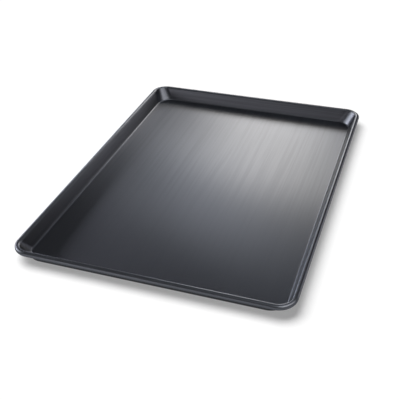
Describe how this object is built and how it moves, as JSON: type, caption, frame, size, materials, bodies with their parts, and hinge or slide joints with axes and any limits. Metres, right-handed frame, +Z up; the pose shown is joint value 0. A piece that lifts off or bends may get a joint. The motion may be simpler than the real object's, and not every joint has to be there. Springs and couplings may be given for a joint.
{
  "type": "jelly roll pan",
  "caption": "Shallow rectangular baking pan for thin sheet cakes, with a flat floor, sloping walls, round corners and a rim rolled round a steel wire.",
  "frame": {"origin": "centre of the underside, on the surface the pan rests on", "axes": "+Z up, +Y along the long sides, +X along the short sides"},
  "size_m": [0.33, 0.457, 0.019],
  "materials": {
    "coated_sheet": "dark grey non-stick coating on rolled sheet steel, semi-gloss, with a fine grain along the length",
    "steel_wire": "drawn steel wire, bright zinc"
  },
  "bodies": {
    "root": {"pan_body": "coated_sheet", "rim_wire": "steel_wire"}
  },
  "joints": []
}
